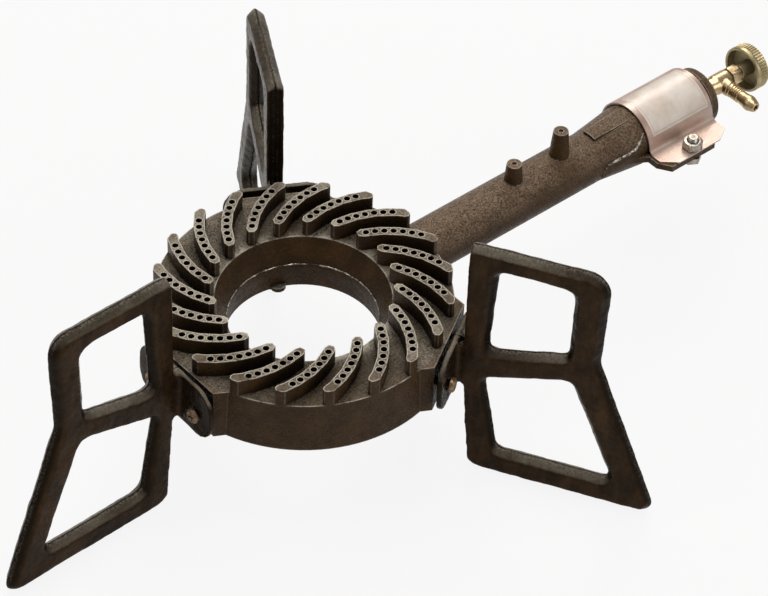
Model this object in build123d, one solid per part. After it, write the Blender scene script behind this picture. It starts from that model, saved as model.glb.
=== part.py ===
from build123d import *

import math
import os

# A cast-iron ring gas burner on three bolted ladder legs, in millimetres.
# +Z is up and +X runs from the burner ring along its mixing tube to the valve.
# Everything is first built round the ring's upright axis with the floor at z = 0,
# and is then moved so that the origin is the middle of the base.
#
# What repeats, or is small and out of sight, is drawn with a few flats, so that
# the whole burner stays light.

# ---------------------------------------------------------------- burner ring
plate_top = 114.3  # height of the ring's top plate above the floor
ring_depth = 39.4  # from the top plate down to the ring's lower edge
ring_bottom_radius = 100.6
ring_draft = 1.1  # how much the outer wall draws in on its way up
hole_top_radius = 58.8  # the open middle narrows down to its parting line
hole_waist_radius = 50.5
hole_bottom_radius = 52.8
waist_depth = 18.0  # from the top plate down to the parting line
ring_wall = 5.5
chamber_inset = 3.0  # from the open middle's top edge out to the gas chamber
plate_thickness = 6.0
floor_thickness = 6.0
rim_lug_angle = 69.5  # degrees from +X to the small lug at the open middle's lower edge
rim_lug_radius = 5.4
rim_lug_thickness = 3.0

# ------------------------------------------------------- swirl ribs and ports
rib_count = 20
rib_height = 12.6
rib_width = 7.2
rib_arc_radius = 68.5  # of each rib's centreline, seen from above
rib_arc_centre_radius = 59.5  # how far that arc's centre lies from the ring's axis
rib_corner_radius = 3.0  # of the sharper corner of a rib's outer end
rib_overhang = 0.4  # how far a rib is drawn past the ring's edge before it is cut flush
rib_phase = 16.4  # degrees from +X to the first rib's arc centre
rib_root_sink = 1.0  # how far a rib is let into the plate before they are joined
ports_per_rib = 7
port_radius = 1.75
outer_port_inset = 7.7  # from the ring's top edge in to each rib's outermost port
inner_port_inset = 5.9  # from the open middle's top edge out to the innermost one

# ------------------------------------------------- leg pads round the ring
leg_turn = 1.0  # the casting's legs stand this far round from the tube's line, in degrees
leg_angles = {"opposite": 180 + leg_turn, "right": -60 + leg_turn, "left": 60 + leg_turn}
pad_proud = 0.6  # how far a pad's flat face stands out from the ring's lower edge
pad_half_width = 31.2
pad_flare = 7.0  # how much wider a pad is where it joins the ring
pad_back = 12.0

# ------------------------------------ legs, as distances from their pad's face
leg_height = 202.9
leg_half_thickness = 6.5
leg_bevel = 5.3  # how far the drafted faces draw in from the parting land
parting_land = 1.2  # the narrow flat edge on which a leg stands and carries the pot
post_inner = 10.3
post_top_outer = 104.8
knee_outer = 102.5
foot_outer = 151.3
foot_inner = 18.6
knee_height = 125.3
shin_height = 98.0
top_inner_fillet = 5.0
top_outer_fillet = 16.0
knee_fillet = 12.0
foot_tip_fillet = 9.0
foot_inner_fillet = 10.0
shin_fillet = 20.0

# leg windows: distances along the leg, then heights
upper_top_inner = 31.4
upper_top_outer = 79.3
upper_low_inner = 28.1
upper_low_outer = 79.0
upper_window_top = 182.0
upper_sill_inner = 113.3
upper_sill_outer = 126.9
lower_top_inner = 26.8
lower_top_outer = 82.9
lower_low_inner = 38.3
lower_low_outer = 115.4
lower_lintel_inner = 85.6
lower_lintel_outer = 102.7
lower_window_sill = 24.4
window_fillet = 3.5
window_round_fillet = 6.0

# ------------------------------------------- leg flange, ears and screws
ear_half_span = 37.7
ear_half_height = 22.0
ear_centre_height = 95.8
ear_corner_radius = 16.3
ear_thickness = 5.0
ear_gap = 2.8  # the ears stand off the pad, and the seat behind the post touches it
seat_half_width = 9.0
seat_half_height = 16.0
neck_reach = 6.0  # how far the flange's neck runs into the post
neck_half_width = 6.0
neck_half_height = 17.0
screw_spread = 21.4
screw_height = 92.2
screw_radius = 3.0
screw_head_radius = 5.2
screw_head_height = 3.4
screw_head_rounding = 1.1
screw_thread_depth = 6.0
screw_clearance = 0.4
thread_gap = 0.05
hole_end_gap = 1.0

# ------------------------------------------------------------ mixing tube
tube_axis_height = 97.6
tube_radius = 18.7
tube_bore = 14.0
tube_straight_end = 255.0
boss_top_radius = 5.3
boss_draft = 5.0
dimple_radius = 1.8
dimple_depth = 1.2
bosses = ((184.6, 130.0), (227.0, 136.9))  # distance along the tube, height of its top

# ------------------------------------------- air bell, bar, lug, end plate
bell_start = 291.7
bell_radius = 23.0
bell_bore = 18.8
window_start = 292.7
end_plate_inner = 357.0
end_plate_outer = 364.1
end_plate_radius = 21.2
end_plate_chamfer = 1.2
bar_half_width = 6.8
bar_tip_half_width = 5.6
bar_tip = 255.0
bar_tip_radius = 20.8
lug_thickness = 4.8
lug_reach = 44.0
lug_start = 290.2
lug_corner_along = 6.4
lug_corner_out = 9.6
lug_end = 341.7
lug_end_chamfer = 4.0
lug_root_along = 11.8  # the hollow sweep between the lug and the tube's side
lug_root_out = 7.5
web_tip = 253.5

# ------------------------------------------------------------ air shutter
sheet = 1.0
shutter_start = 292.0
shutter_length = 61.2
shutter_inner_radius = 24.2
shutter_far_angle = -8.0  # degrees above the tube's axis, on the side away from the flange
flange_reach = 44.4
flange_bend = 5.5
ring_chamfer_along = 10.5
ring_chamfer_out = 9.0
valve_chamfer_along = 11.0
valve_chamfer_out = 6.5
slide_gap = 0.3
shutter_open_travel = 14.0
shutter_close_travel = 3.0
bolt_at = 320.8
bolt_out = 38.0
bolt_radius = 4.0
bolt_slot_gap = 0.3
bolt_hole_gap = 0.25
bolt_end_above_nut = 3.0
bolt_end_chamfer = 0.8
nut_across_flats = 13.0
nut_height = 6.5
nut_corner_drop = 0.6
bolt_head_height = 5.3

# -------------------------------------------- valve, along the tube's axis
shank_radius = 5.8
shank_inner_end = 349.0
shank_hole_gap = 0.05
neck_end = 376.0
body_start = 379.0
body_end = 393.0
valve_body_radius = 7.4
gas_way_radius = 1.6
seat_at = 379.5
chamber_radius = 3.9
stem_radius = 2.5
stem_end = 414.9
stem_end_gap = 0.3
running_gap = 0.05
needle_length = 4.0
needle_tip_radius = 0.8
seat_gap = 0.3
packing_radius = 4.6
packing_start = 395.5
packing_end = 398.0
gland_thread_radius = 5.9
gland_thread_end = 397.7
gland_across_flats = 14.0
gland_start = 393.4
gland_end = 402.0
gland_corner_drop = 1.2

# ---------------------------------------------------------- injector jet
jet_across_flats = 9.0
jet_hex_length = 5.0
jet_length = 12.0
jet_tip_radius = 2.4
jet_shoulder_radius = 3.6
jet_thread_radius = 3.0
jet_thread_length = 5.0
jet_orifice_radius = 0.5
jet_orifice_length = 3.0

# ------------------------------------ hose tail, as distances from the tube's axis
tail_at = 386.1
tail_boss_radius = 6.0
tail_boss_end = 10.5
tail_thread_radius = 3.6
tail_thread_length = 4.5
tail_collar_radius = 5.4
tail_collar_length = 2.0
tail_barbs = 2
tail_root_radius = 4.3
tail_barb_radius = 5.3
tail_land_start = 18.0
tail_land_radius = 5.0
tail_land_length = 7.0
tail_bulge_radius = 5.6
tail_bulge_start = 28.0
tail_bulge_length = 2.5
tail_tip = 36.0
tail_tip_radius = 3.5
tail_bore = 2.1

# ------------------------------------------------------------------- knob
knob_back = 407.4
knob_front = 418.4
knob_radius = 17.4
knob_cup_radius = 15.2
knob_face_thickness = 3.0
knob_hub_radius = 5.5
knob_hub_back = 404.0
knob_screw_radius = 1.5
knob_screw_length = 7.0
knob_screw_head_radius = 3.6
knob_screw_head_height = 1.0

# ----------------------------------------------- flats in place of round forms
port_sides = 6
small_sides = 12
round_sides = 16
knob_sides = 30
chamber_sides = 30
rib_side_steps = 4
rib_nose_steps = 3
rib_corner_steps = 3
corner_sag = 0.3  # how far a rounded corner's straight steps may lie inside its arc

# ------------------------------------------------------- worked-out values
ring_top_radius = ring_bottom_radius - ring_draft
pad_distance = ring_bottom_radius + pad_proud
ring_bottom = plate_top - ring_depth
rib_top = plate_top + rib_height
waist_height = plate_top - waist_depth
lug_top = tube_axis_height - sheet - slide_gap
lug_bottom = lug_top - lug_thickness
shutter_end = shutter_start + shutter_length
shank_hole_radius = shank_radius + shank_hole_gap
jet_hole_end = shank_inner_end + jet_thread_length + hole_end_gap
tail_land_end = tail_land_start + tail_land_length
stem_hole_radius = stem_radius + running_gap
gland_hole_corner = stem_hole_radius / math.cos(math.pi / small_sides)
ear_face = ear_gap + ear_thickness
overshoot = 1.0  # cutters run this far past the faces they cut


def turned(outline):
    """Revolve (distance along the tube, radius) points about the tube's axis."""
    face = make_face(Polyline(*outline, close=True))
    return Pos(0, 0, tube_axis_height) * revolve(face, Axis.X)


def rod(start, end, radius):
    """A round bar on the tube's axis."""
    return turned(((start, 0), (start, radius), (end, radius), (end, 0)))


def flat_sided(foot, crown, height):
    """A solid from one outline up to another with as many points, its sides flat."""
    low = [Vector(*point) for point in foot]
    high = [Vector(*point) + Vector(0, 0, height) for point in crown]
    faces = [make_face(Polyline(*outline, close=True)) for outline in (low, high)]
    for i in range(len(low)):
        side = Polyline(low[i - 1], low[i], high[i], high[i - 1], close=True)
        faces.append(make_face(side))
    return Solid(Shell([face.faces()[0] for face in faces]))


def ring_points(radius, sides):
    """The corners of a regular polygon."""
    turns = [math.tau * i / sides for i in range(sides)]
    return [(radius * math.cos(turn), radius * math.sin(turn)) for turn in turns]


def flat_bar(length, radius, end_radius, sides):
    """An upright bar or drill drawn with flats, from one radius to another."""
    return flat_sided(ring_points(radius, sides), ring_points(end_radius, sides), length)


def flat_rod(start, end, radius, end_radius=None, sides=small_sides):
    """The same bar on the tube's axis, straight where it has one radius."""
    bar = flat_bar(end - start, radius, end_radius or radius, sides)
    return Pos(start, 0, tube_axis_height) * Rot(0, 90, 0) * bar


def hexagon(across_flats):
    """A hexagon for a nut or a bolt's head."""
    return RegularPolygon(across_flats / 2, 6, major_radius=False)


def hexagon_corner(across_flats):
    """Distance from a hexagon's centre to its corners."""
    return across_flats / 2 / math.cos(math.pi / 6)


def nut_block(across_flats, height, corner_drop):
    """A nut's hexagonal block, its corners drawn in at the top."""
    corner = hexagon_corner(across_flats)
    lower = height - corner_drop
    guard = flat_bar(lower, corner, corner, small_sides)
    guard += Pos(0, 0, lower) * flat_bar(corner_drop, corner, across_flats / 2, small_sides)
    return extrude(hexagon(across_flats), height) & guard


def ring_body():
    """The ring's outer shape, as one solid of revolution."""
    outline = Polyline(
        (hole_top_radius, plate_top),
        (ring_top_radius, plate_top),
        (ring_bottom_radius, ring_bottom),
        (hole_bottom_radius, ring_bottom),
        (hole_waist_radius, waist_height),
        close=True,
    )
    return revolve(Plane.XZ * make_face(outline), Axis.Z)


def gas_chamber():
    """The hollow inside the ring that feeds the ports."""
    top = plate_top - plate_thickness
    bottom = ring_bottom + floor_thickness
    outside = RegularPolygon(ring_top_radius - ring_wall, chamber_sides)
    inside = RegularPolygon(hole_top_radius + chamber_inset, chamber_sides)
    return Pos(0, 0, bottom) * extrude(outside - inside, top - bottom)


def rim_lug():
    """The small half-round lug at the open middle's lower edge."""
    disc = flat_bar(rim_lug_thickness, rim_lug_radius, rim_lug_radius, small_sides)
    return Rot(0, 0, rim_lug_angle) * Pos(hole_bottom_radius, 0, ring_bottom) * disc


def rounded_corner(before, corner, after, radius, steps, inset=0):
    """A corner's arc in straight steps, drawn in by the inset where the outline runs clockwise."""
    corner = Vector(*corner)
    towards = (Vector(*before) - corner).normalized()
    away = (Vector(*after) - corner).normalized()
    half_angle = math.radians(towards.get_angle(away)) / 2
    centre = corner + (towards + away).normalized() * (radius / math.sin(half_angle))
    arm = corner + towards * (radius / math.tan(half_angle)) - centre
    bend = -1 if towards.cross(away).Z > 0 else 1
    reach = (radius + bend * inset) / radius
    turn = bend * math.degrees(math.pi - 2 * half_angle) / steps
    return [centre + arm.rotate(Axis.Z, turn * j) * reach for j in range(steps + 1)]


def rib_angle_at(distance, offset=0):
    """Angle about a rib's arc centre where a line beside its centreline is this far
    from the ring's axis."""
    radius = rib_arc_radius + offset
    product = 2 * radius * rib_arc_centre_radius
    cosine = (distance**2 - radius**2 - rib_arc_centre_radius**2) / product
    return math.degrees(math.acos(cosine))


def rib_point(angle, offset=0):
    """A point beside the first rib's centreline, with its arc centre laid on +X."""
    turn = math.radians(angle)
    radius = rib_arc_radius + offset
    return (rib_arc_centre_radius + radius * math.cos(turn), radius * math.sin(turn))


def swirl_rib():
    """One curved rib: its outer end flush with the ring but for a rounded corner, and
    its inner end rounded."""
    half_width = rib_width / 2
    rim_reach = ring_top_radius + rib_overhang
    end = rib_angle_at(hole_top_radius + half_width)
    inner_side = []
    outer_side = []
    for side, offset in ((inner_side, -half_width), (outer_side, half_width)):
        start = rib_angle_at(rim_reach, offset)
        for i in range(rib_side_steps + 1):
            side.append(rib_point(start + (end - start) * i / rib_side_steps, offset))
    tip = (outer_side[0], inner_side[0], inner_side[1])
    corner = rounded_corner(*tip, rib_corner_radius, rib_corner_steps)
    nose = []
    for i in range(1, rib_nose_steps):
        turn = math.pi * i / rib_nose_steps
        beyond = math.degrees(half_width * math.sin(turn) / rib_arc_radius)
        nose.append(rib_point(end + beyond, -half_width * math.cos(turn)))
    outline = [*corner, *inner_side[1:], *nose, *reversed(outer_side)]
    footprint = make_face(Polyline(*outline, close=True))
    rib = Pos(0, 0, plate_top - rib_root_sink) * extrude(footprint, rib_height + rib_root_sink)
    rim = Pos(0, 0, plate_top) * Cylinder(ring_top_radius, 4 * rib_height)
    return rib & rim


def rib_ports():
    """The row of drills that opens one rib's ports into the chamber."""
    first = rib_angle_at(ring_top_radius - outer_port_inset)
    last = rib_angle_at(hole_top_radius + inner_port_inset)
    step = (last - first) / (ports_per_rib - 1)
    bottom = plate_top - plate_thickness - overshoot
    drill = extrude(RegularPolygon(port_radius, port_sides), rib_top + overshoot - bottom)
    return [Pos(*rib_point(first + i * step), bottom) * drill for i in range(ports_per_rib)]


def leg_pad():
    """A flat-faced pad on the ring, for a leg that points along +X."""
    back = pad_distance - pad_back
    outline = Polyline(
        (pad_distance, -pad_half_width),
        (pad_distance, pad_half_width),
        (back, pad_half_width + pad_flare),
        (back, -pad_half_width - pad_flare),
        close=True,
    )
    return Pos(0, 0, ring_bottom) * extrude(make_face(outline), ring_depth)


def pad_screw_holes():
    """The two tapped holes in a pad."""
    end = pad_distance - screw_thread_depth - hole_end_gap
    hole = RegularPolygon(screw_radius + thread_gap, small_sides)
    drill = extrude(hole, pad_distance + overshoot - end)
    return [
        Pos(end, side * screw_spread, screw_height) * Rot(0, 90, 0) * drill
        for side in (-1, 1)
    ]


def tube_body():
    """The straight tube, its flare, the bell and the end plate."""
    tube_start = ring_top_radius - ring_wall / 2
    return turned(
        (
            (tube_start, 0),
            (tube_start, tube_radius),
            (tube_straight_end, tube_radius),
            (bell_start, bell_radius),
            (end_plate_inner, bell_radius),
            (end_plate_inner, end_plate_radius),
            (end_plate_outer - end_plate_chamfer, end_plate_radius),
            (end_plate_outer, end_plate_radius - end_plate_chamfer),
            (end_plate_outer, 0),
        )
    )


def tube_bore_cut():
    """The mixing bore, from the chamber to the inside of the end plate."""
    mouth = ring_top_radius - ring_wall - overshoot
    return turned(
        (
            (mouth, 0),
            (mouth, tube_bore),
            (bell_start, tube_bore),
            (bell_start, bell_bore),
            (end_plate_inner, bell_bore),
            (end_plate_inner, 0),
        )
    )


def air_windows():
    """The two openings above the tube's axis, one each side of the top bar."""
    reach = bell_radius + overshoot
    sill = Box(
        end_plate_inner - window_start,
        reach - bar_half_width,
        reach,
        align=(Align.MIN, Align.MIN, Align.MIN),
    )
    far = Pos(window_start, bar_half_width, tube_axis_height) * sill
    return [far, mirror(far, Plane.XZ)]


def top_bar():
    """The strip along the tube's top that widens into the bar between the windows."""
    outline = Polyline(
        (bar_tip, -bar_tip_half_width),
        (bar_tip, bar_tip_half_width),
        (bell_start, bar_half_width),
        (end_plate_inner, bar_half_width),
        (end_plate_inner, -bar_half_width),
        (bell_start, -bar_half_width),
        close=True,
    )
    strip = extrude(make_face(outline), bell_radius + overshoot)
    crown = turned(
        (
            (bar_tip, 0),
            (bar_tip, bar_tip_radius),
            (bell_start, bell_radius),
            (end_plate_inner, bell_radius),
            (end_plate_inner, 0),
        )
    )
    return (Pos(0, 0, tube_axis_height) * strip) & crown


def shutter_lug():
    """The flat lug beside the bell, with the web that fades into the tube."""
    outline = Polyline(
        (web_tip, 0),
        (web_tip, -tube_radius),
        (lug_start - lug_root_along, -tube_radius),
        (lug_start, -tube_radius - lug_root_out),
        (lug_start, -lug_reach + lug_corner_out),
        (lug_start + lug_corner_along, -lug_reach),
        (lug_end - lug_end_chamfer, -lug_reach),
        (lug_end, -lug_reach + lug_end_chamfer),
        (lug_end, 0),
        close=True,
    )
    return Pos(0, 0, lug_bottom) * extrude(make_face(outline), lug_thickness)


def lug_slot():
    """The slot in which the shutter's bolt slides."""
    travel = shutter_open_travel + shutter_close_travel
    slot = SlotCenterToCenter(travel, 2 * (bolt_radius + bolt_slot_gap))
    centre = bolt_at + (shutter_close_travel - shutter_open_travel) / 2
    cut = extrude(slot, lug_thickness + 2 * overshoot)
    return Pos(centre, -bolt_out, lug_bottom - overshoot) * cut


def tube_bosses():
    """The drafted bosses on top of the tube, each with a centre dimple."""
    made = []
    for along, top in bosses:
        height = top - tube_axis_height - tube_bore - overshoot
        base = boss_top_radius + height * math.tan(math.radians(boss_draft))
        boss = Pos(0, 0, -height) * flat_bar(height, base, boss_top_radius, round_sides)
        dimple = extrude(RegularPolygon(dimple_radius, port_sides), -dimple_depth)
        made.append(Pos(along, 0, top) * (boss - dimple))
    return made


def burner_casting():
    """The one-piece casting: ring, ribs, ports, pads, tube, bell, lug and end plate."""
    body = ring_body()
    body += [Rot(0, 0, angle) * leg_pad() for angle in leg_angles.values()]
    body += tube_body() - air_windows()
    body += top_bar()
    body += shutter_lug()
    body += rim_lug()
    body -= gas_chamber()
    body -= tube_bore_cut()
    body += tube_bosses()
    turns = [Rot(0, 0, rib_phase + 360 / rib_count * i) for i in range(rib_count)]
    rib = swirl_rib()
    body += [turn * rib for turn in turns]
    ports = rib_ports()
    body -= [turn * port for turn in turns for port in ports]
    for angle in leg_angles.values():
        body -= [Rot(0, 0, angle) * hole for hole in pad_screw_holes()]
    body -= lug_slot()
    body -= rod(end_plate_inner - overshoot, end_plate_outer + overshoot, shank_hole_radius)
    return body


def rounded(points, radii, inset=0):
    """Clockwise corner points rounded by their own radii, each arc in straight steps.

    The inset draws the whole outline in, with as many points as it had."""
    outline = []
    for i, radius in enumerate(radii):
        before, corner, after = points[i - 1], points[i], points[(i + 1) % len(points)]
        bend = (Vector(*corner) - Vector(*before)).get_angle(Vector(*after) - Vector(*corner))
        steps = math.ceil(math.radians(bend) / (2 * math.acos(1 - corner_sag / radius)))
        outline += rounded_corner(before, corner, after, radius, steps, inset)
    return outline


def leg_outline(bleed, inset=0):
    """The leg's outline seen from its side, its inner edge moved inward by the bleed."""
    return rounded(
        (
            (post_inner - bleed, leg_height),
            (post_top_outer, leg_height),
            (knee_outer, knee_height),
            (foot_outer, 0),
            (foot_inner - bleed, 0),
            (post_inner - bleed, shin_height),
        ),
        (
            top_inner_fillet + bleed,
            top_outer_fillet,
            knee_fillet,
            foot_tip_fillet,
            foot_inner_fillet + bleed,
            shin_fillet,
        ),
        inset,
    )


def leg_windows(inset=0):
    """The outlines of the two windows of a leg's ladder frame, seen from its side."""
    upper = rounded(
        (
            (upper_top_inner, upper_window_top),
            (upper_top_outer, upper_window_top),
            (upper_low_outer, upper_sill_outer),
            (upper_low_inner, upper_sill_inner),
        ),
        (window_fillet, window_round_fillet, window_fillet, window_fillet),
        inset,
    )
    lower = rounded(
        (
            (lower_top_inner, lower_lintel_inner),
            (lower_top_outer, lower_lintel_outer),
            (lower_low_outer, lower_window_sill),
            (lower_low_inner, lower_window_sill),
        ),
        (window_fillet, window_fillet, window_fillet, window_fillet),
        inset,
    )
    return [upper, lower]


def leg_frame():
    """The ladder frame: two drafted halves that meet at a narrow parting land."""
    land = parting_land / 2
    rise = leg_half_thickness - land
    side_view = leg_outline(leg_bevel)
    half = flat_sided(side_view, side_view, land)
    half += Pos(0, 0, land) * flat_sided(side_view, leg_outline(leg_bevel, leg_bevel), rise)
    for window, widened in zip(leg_windows(), leg_windows(-leg_bevel)):
        half -= flat_sided(window, window, land)
        half -= Pos(0, 0, land) * flat_sided(window, widened, rise)
    whole = half + mirror(half, Plane.XY)
    inner_face = make_face(Polyline(*leg_outline(0), close=True))
    whole &= extrude(inner_face, leg_half_thickness + overshoot, both=True)
    return Rot(90, 0, 0) * whole


def ear_plate():
    """The flange's flat plate, with its rounded ears."""
    corners = [
        (side * ear_half_height, end * ear_half_span)
        for side, end in ((-1, -1), (-1, 1), (1, 1), (1, -1))
    ]
    ears = rounded(corners, [ear_corner_radius] * len(corners))
    plate = flat_sided(ears, ears, ear_thickness)
    return Pos(ear_gap, 0, ear_centre_height) * Rot(0, 90, 0) * plate


def leg_flange():
    """The two-eared flange, its seat on the pad and the neck that ties it to the post."""
    seat = Box(ear_face, 2 * seat_half_width, 2 * seat_half_height)
    seat = Pos(ear_face / 2, 0, ear_centre_height) * seat
    neck_end = post_inner + neck_reach
    neck = Box(neck_end - ear_gap, 2 * neck_half_width, 2 * neck_half_height)
    neck = Pos((neck_end + ear_gap) / 2, 0, ear_centre_height) * neck
    hole = RegularPolygon(screw_radius + screw_clearance, small_sides)
    drill = extrude(hole, ear_thickness + 2 * overshoot)
    holes = [
        Pos(ear_gap - overshoot, side * screw_spread, screw_height) * Rot(0, 90, 0) * drill
        for side in (-1, 1)
    ]
    return ear_plate() + seat + neck - holes


def leg():
    """One leg, pointing along +X."""
    return Pos(pad_distance, 0, 0) * (leg_frame() + leg_flange())


def leg_screw(side):
    """One screw of a leg that points along +X, on one side of it."""
    shank = extrude(RegularPolygon(screw_radius, small_sides), screw_thread_depth + ear_face)
    rim_height = screw_head_height - screw_head_rounding
    rim = flat_bar(rim_height, screw_head_radius, screw_head_radius, small_sides)
    crown_radius = screw_head_radius - screw_head_rounding
    crown = flat_bar(screw_head_rounding, screw_head_radius, crown_radius, small_sides)
    head = rim + Pos(0, 0, rim_height) * crown
    screw = shank + Pos(0, 0, screw_thread_depth + ear_face) * head
    tip = pad_distance - screw_thread_depth
    return Pos(tip, side * screw_spread, screw_height) * Rot(0, 90, 0) * screw


def shutter_outline(inner_radius, bend_radius, level):
    """One skin of the shutter seen along the tube: saddle, bend and flange."""
    bend_height = level + bend_radius
    bend_reach = inner_radius + bend_radius
    bend_side = math.sqrt(bend_reach**2 - bend_height**2)
    tangent = math.degrees(math.asin(bend_height / bend_reach))
    saddle = CenterArc((0, 0), inner_radius, shutter_far_angle, 180 - tangent - shutter_far_angle)
    bend = CenterArc((-bend_side, bend_height), bend_radius, -tangent, tangent - 90)
    flat = Line(bend @ 1, (-flange_reach, level))
    return [saddle, bend, flat]


def air_shutter():
    """The bent sheet that rides over the bell and out along the lug."""
    inner = shutter_outline(shutter_inner_radius, flange_bend + sheet, -sheet)
    outer = shutter_outline(shutter_inner_radius + sheet, flange_bend, 0)
    far_edge = Line(inner[0] @ 0, outer[0] @ 0)
    flange_edge = Line(inner[2] @ 1, outer[2] @ 1)
    section = make_face(inner + outer + [far_edge, flange_edge])
    body = Plane(origin=(shutter_start, 0, tube_axis_height), x_dir=(0, 1, 0), z_dir=(1, 0, 0))
    saddle = body * extrude(section, shutter_length)
    reach = shutter_inner_radius + 2 * sheet
    plan = Polyline(
        (shutter_start, reach),
        (shutter_end, reach),
        (shutter_end, -flange_reach + valve_chamfer_out),
        (shutter_end - valve_chamfer_along, -flange_reach),
        (shutter_start + ring_chamfer_along, -flange_reach),
        (shutter_start, -flange_reach + ring_chamfer_out),
        close=True,
    )
    trim = Pos(0, 0, tube_axis_height - reach) * extrude(make_face(plan), 2 * reach)
    hole = extrude(RegularPolygon(bolt_radius + bolt_hole_gap, small_sides), 4 * sheet)
    hole = Pos(bolt_at, -bolt_out, tube_axis_height - 2 * sheet) * hole
    return (saddle & trim) - hole


def shutter_bolt():
    """The bolt that carries the shutter: head under the lug, end above the nut."""
    head_top = lug_bottom - slide_gap
    head = extrude(hexagon(nut_across_flats), bolt_head_height)
    end = tube_axis_height + nut_height + bolt_end_above_nut
    length = end - bolt_end_chamfer - head_top
    shank = flat_bar(length, bolt_radius, bolt_radius, small_sides)
    tip = flat_bar(bolt_end_chamfer, bolt_radius, bolt_radius - bolt_end_chamfer, small_sides)
    place = Pos(bolt_at, -bolt_out, head_top)
    return place * (Pos(0, 0, -bolt_head_height) * head + shank + Pos(0, 0, length) * tip)


def shutter_nut():
    """The hexagon nut on top of the shutter's flange."""
    nut = nut_block(nut_across_flats, nut_height, nut_corner_drop)
    nut -= extrude(RegularPolygon(bolt_radius, small_sides), nut_height)
    return Pos(bolt_at, -bolt_out, tube_axis_height) * nut


def valve_body():
    """The brass body: shank in the end plate, neck, chamber, side boss and gland thread."""
    body = flat_rod(shank_inner_end, neck_end, shank_radius, sides=round_sides)
    body += flat_rod(neck_end, body_start, shank_radius, valve_body_radius, round_sides)
    body += flat_rod(body_start, body_end, valve_body_radius, sides=round_sides)
    body += flat_rod(body_end, gland_thread_end, gland_thread_radius)
    boss = extrude(RegularPolygon(tail_boss_radius, round_sides), tail_boss_end)
    body += Pos(tail_at, 0, tube_axis_height) * Rot(90, 0, 0) * boss
    body -= flat_rod(shank_inner_end - overshoot, seat_at, gas_way_radius)
    body -= flat_rod(shank_inner_end - overshoot, jet_hole_end, jet_thread_radius)
    body -= flat_rod(seat_at, packing_start, chamber_radius)
    body -= flat_rod(packing_start, gland_thread_end + overshoot, packing_radius)
    side_hole = extrude(RegularPolygon(tail_thread_radius, small_sides), tail_boss_end + overshoot)
    return body - Pos(tail_at, 0, tube_axis_height) * Rot(90, 0, 0) * side_hole


def injector_jet():
    """The gas jet screwed into the inner end of the valve's shank."""
    face = shank_inner_end
    jet = flat_rod(face, face + jet_thread_length, jet_thread_radius)
    collar = extrude(hexagon(jet_across_flats), jet_hex_length)
    jet += Pos(face - jet_hex_length, 0, tube_axis_height) * Rot(0, 90, 0) * collar
    jet += flat_rod(face - jet_length, face - jet_hex_length, jet_tip_radius, jet_shoulder_radius)
    jet -= flat_rod(face - jet_length - overshoot, face, jet_orifice_radius)
    bore_start = face - jet_length + jet_orifice_length
    return jet - flat_rod(bore_start, face + jet_thread_length + overshoot, gas_way_radius)


def tail_section(start, end, radius, end_radius=None):
    """A length of the hose tail, drawn with flats, by distances from the tube's axis."""
    return Pos(0, 0, -tube_axis_height) * flat_rod(start, end, radius, end_radius)


def hose_tail():
    """The barbed hose tail screwed into the side of the valve body."""
    face = tail_boss_end
    collar_end = face + tail_collar_length
    tail = tail_section(face, collar_end, tail_collar_radius)
    pitch = (tail_land_start - collar_end) / tail_barbs
    for i in range(tail_barbs):
        root = collar_end + i * pitch
        tail += tail_section(root, root + pitch, tail_root_radius, tail_barb_radius)
    tail += tail_section(tail_land_start, tail_land_end, tail_land_radius)
    tail += tail_section(tail_land_end, tail_bulge_start, tail_land_radius, tail_bulge_radius)
    bulge = extrude(Circle(tail_bulge_radius), tail_bulge_length)
    tail += Pos(tail_bulge_start, 0, 0) * Rot(0, 90, 0) * bulge
    bulge_end = tail_bulge_start + tail_bulge_length
    tail += tail_section(bulge_end, tail_tip, tail_bulge_radius, tail_tip_radius)
    thread = extrude(RegularPolygon(tail_thread_radius, small_sides), tail_thread_length)
    tail += Pos(face - tail_thread_length, 0, 0) * Rot(0, 90, 0) * thread
    bore = extrude(RegularPolygon(tail_bore, small_sides), tail_tip + overshoot)
    tail -= Rot(0, 90, 0) * bore
    return Pos(tail_at, 0, tube_axis_height) * Rot(0, 0, -90) * tail


def valve_stem():
    """The needle stem: cone at the seat and a round shank that carries the knob."""
    needle_end = seat_at + seat_gap
    shank_start = needle_end + needle_length
    stem = rod(shank_start, stem_end, stem_radius)
    stem += flat_rod(needle_end, shank_start, needle_tip_radius, stem_radius)
    floor = knob_front - knob_screw_length - hole_end_gap
    return stem - rod(floor, stem_end + overshoot, knob_screw_radius + running_gap)


def gland_packing():
    """The soft ring squeezed round the stem by the gland nut."""
    ring = flat_rod(packing_start, packing_end, packing_radius)
    return ring - flat_rod(packing_start - overshoot, packing_end + overshoot, gland_hole_corner)


def gland_nut():
    """The hexagon gland nut over the end of the valve body."""
    nut = nut_block(gland_across_flats, gland_end - gland_start, gland_corner_drop)
    nut = Pos(gland_start, 0, tube_axis_height) * Rot(0, 90, 0) * nut
    nut -= flat_rod(gland_start - overshoot, packing_end, gland_thread_radius)
    return nut - flat_rod(gland_start, gland_end + overshoot, gland_hole_corner)


def knob():
    """The hollow-backed hand knob with its hub."""
    shell = flat_rod(knob_back, knob_front, knob_radius, sides=knob_sides)
    cup_floor = knob_front - knob_face_thickness
    shell -= flat_rod(knob_back - overshoot, cup_floor, knob_cup_radius, sides=knob_sides)
    shell += flat_rod(knob_hub_back, cup_floor + overshoot, knob_hub_radius)
    shell -= rod(knob_hub_back - overshoot, stem_end + stem_end_gap, stem_hole_radius)
    return shell - rod(knob_hub_back, knob_front + overshoot, knob_screw_radius)


def knob_screw():
    """The centre screw that keeps the knob on the stem."""
    shank = rod(knob_front - knob_screw_length, knob_front, knob_screw_radius)
    head_end = knob_front + knob_screw_head_height
    return shank + flat_rod(knob_front, head_end, knob_screw_head_radius)


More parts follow.
